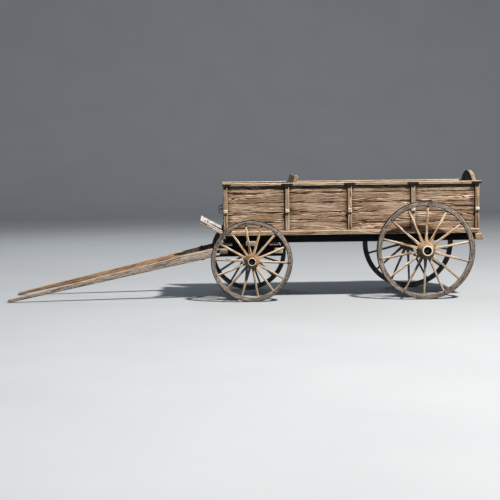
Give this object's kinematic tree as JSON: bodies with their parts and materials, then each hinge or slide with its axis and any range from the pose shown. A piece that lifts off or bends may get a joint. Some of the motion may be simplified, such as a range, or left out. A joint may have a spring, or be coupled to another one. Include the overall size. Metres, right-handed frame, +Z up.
{
  "type": "farm wagon",
  "caption": "Four-wheeled horse-drawn farm wagon: boarded box, turntable front carriage, hinged shafts, spoked wheels with iron tyres.",
  "frame": {"origin": "on the ground under the middle of the overall box, on the centre line", "axes": "+X to the rear of the wagon, +Y to its right-hand side (the driver faces -X), +Z up"},
  "size_m": [6.3688, 1.86, 1.6879],
  "materials": {
    "board_wood": "weathered bare boards",
    "frame_wood": "weathered, worn pale at edges",
    "underframe_wood": "dark, grimy",
    "pale_wood": "bleached grey",
    "nave_wood": "turned, oiled",
    "spoke_wood": "shaved, bare",
    "felloe_wood": "weathered grey brown",
    "tyre_iron": "worn wrought iron",
    "black_iron": "blackened wrought iron"
  },
  "bodies": {
    "box": {"side_boards": "board_wood", "floor_boards": "board_wood", "headboard": "board_wood", "side_posts": "frame_wood", "top_rails": "frame_wood", "side_sills": "frame_wood", "main_beams": "underframe_wood", "cross_bearers": "underframe_wood", "tail_beam": "underframe_wood", "rail_brackets": "black_iron", "lashing_cleats": "frame_wood", "seat_board": "frame_wood", "seat_back": "frame_wood", "seat_bearers": "frame_wood", "footboard_rails": "pale_wood", "footboard_planks": "pale_wood", "frame_bolts": "black_iron", "ring_staples": "black_iron", "tailboard_guides": "board_wood", "rear_axle_bed": "underframe_wood", "rear_axle": "black_iron", "rear_axle_fastenings": "black_iron", "turntable_beams": "underframe_wood", "upper_ring": "black_iron", "kingpin": "black_iron"},
    "front_carriage": {"front_axle_bed": "underframe_wood", "front_axle": "black_iron", "front_axle_fastenings": "black_iron", "lower_ring": "black_iron", "futchells": "underframe_wood", "carriage_bars": "underframe_wood", "shaft_hinges": "black_iron"},
    "shafts": {"shaft_left": "pale_wood", "shaft_right": "pale_wood", "shaft_crossboard": "pale_wood", "shaft_irons": "black_iron"},
    "tailboard": {"tailboard_boards": "board_wood", "tailboard_battens": "board_wood"},
    "tie_ring_left": {"tie_ring_left": "black_iron"},
    "tie_ring_right": {"tie_ring_right": "black_iron"},
    "front_left_wheel": {"front_left_nave": "nave_wood", "front_left_spokes": "spoke_wood", "front_left_felloes": "felloe_wood", "front_left_tyre": "tyre_iron", "front_left_irons": "black_iron"},
    "front_right_wheel": {"front_right_nave": "nave_wood", "front_right_spokes": "spoke_wood", "front_right_felloes": "felloe_wood", "front_right_tyre": "tyre_iron", "front_right_irons": "black_iron"},
    "rear_left_wheel": {"rear_left_nave": "nave_wood", "rear_left_spokes": "spoke_wood", "rear_left_felloes": "felloe_wood", "rear_left_tyre": "tyre_iron", "rear_left_irons": "black_iron"},
    "rear_right_wheel": {"rear_right_nave": "nave_wood", "rear_right_spokes": "spoke_wood", "rear_right_felloes": "felloe_wood", "rear_right_tyre": "tyre_iron", "rear_right_irons": "black_iron"}
  },
  "joints": [
    {"name": "steering", "type": "hinge", "parent": "box", "child": "front_carriage", "pos_m": [0.07445, 0, 0.705], "axis": [0, 0, 1], "range_deg": [-16, 16]},
    {"name": "shaft_lift", "type": "hinge", "parent": "front_carriage", "child": "shafts", "pos_m": [-0.39555, 0, 0.643], "axis": [0, 1, 0], "range_deg": [0, 40]},
    {"name": "tailboard_lift", "type": "slide", "parent": "box", "child": "tailboard", "axis": [0, 0, 1], "range_m": [0, 0.6]},
    {"name": "tie_ring_left_swing", "type": "hinge", "parent": "box", "child": "tie_ring_left", "pos_m": [-0.32205, -0.5635, 1.216], "axis": [1, 0, 0], "range_deg": [-70, 70]},
    {"name": "tie_ring_right_swing", "type": "hinge", "parent": "box", "child": "tie_ring_right", "pos_m": [-0.32205, 0.5635, 1.216], "axis": [1, 0, 0], "range_deg": [-70, 70]},
    {"name": "front_left_wheel_spin", "type": "hinge", "parent": "front_carriage", "child": "front_left_wheel", "pos_m": [0.07445, -0.78, 0.5375], "axis": [0, 1, 0], "continuous": true},
    {"name": "front_right_wheel_spin", "type": "hinge", "parent": "front_carriage", "child": "front_right_wheel", "pos_m": [0.07445, 0.78, 0.5375], "axis": [0, 1, 0], "continuous": true},
    {"name": "rear_left_wheel_spin", "type": "hinge", "parent": "box", "child": "rear_left_wheel", "pos_m": [2.37545, -0.78, 0.65], "axis": [0, 1, 0], "continuous": true},
    {"name": "rear_right_wheel_spin", "type": "hinge", "parent": "box", "child": "rear_right_wheel", "pos_m": [2.37545, 0.78, 0.65], "axis": [0, 1, 0], "continuous": true}
  ]
}
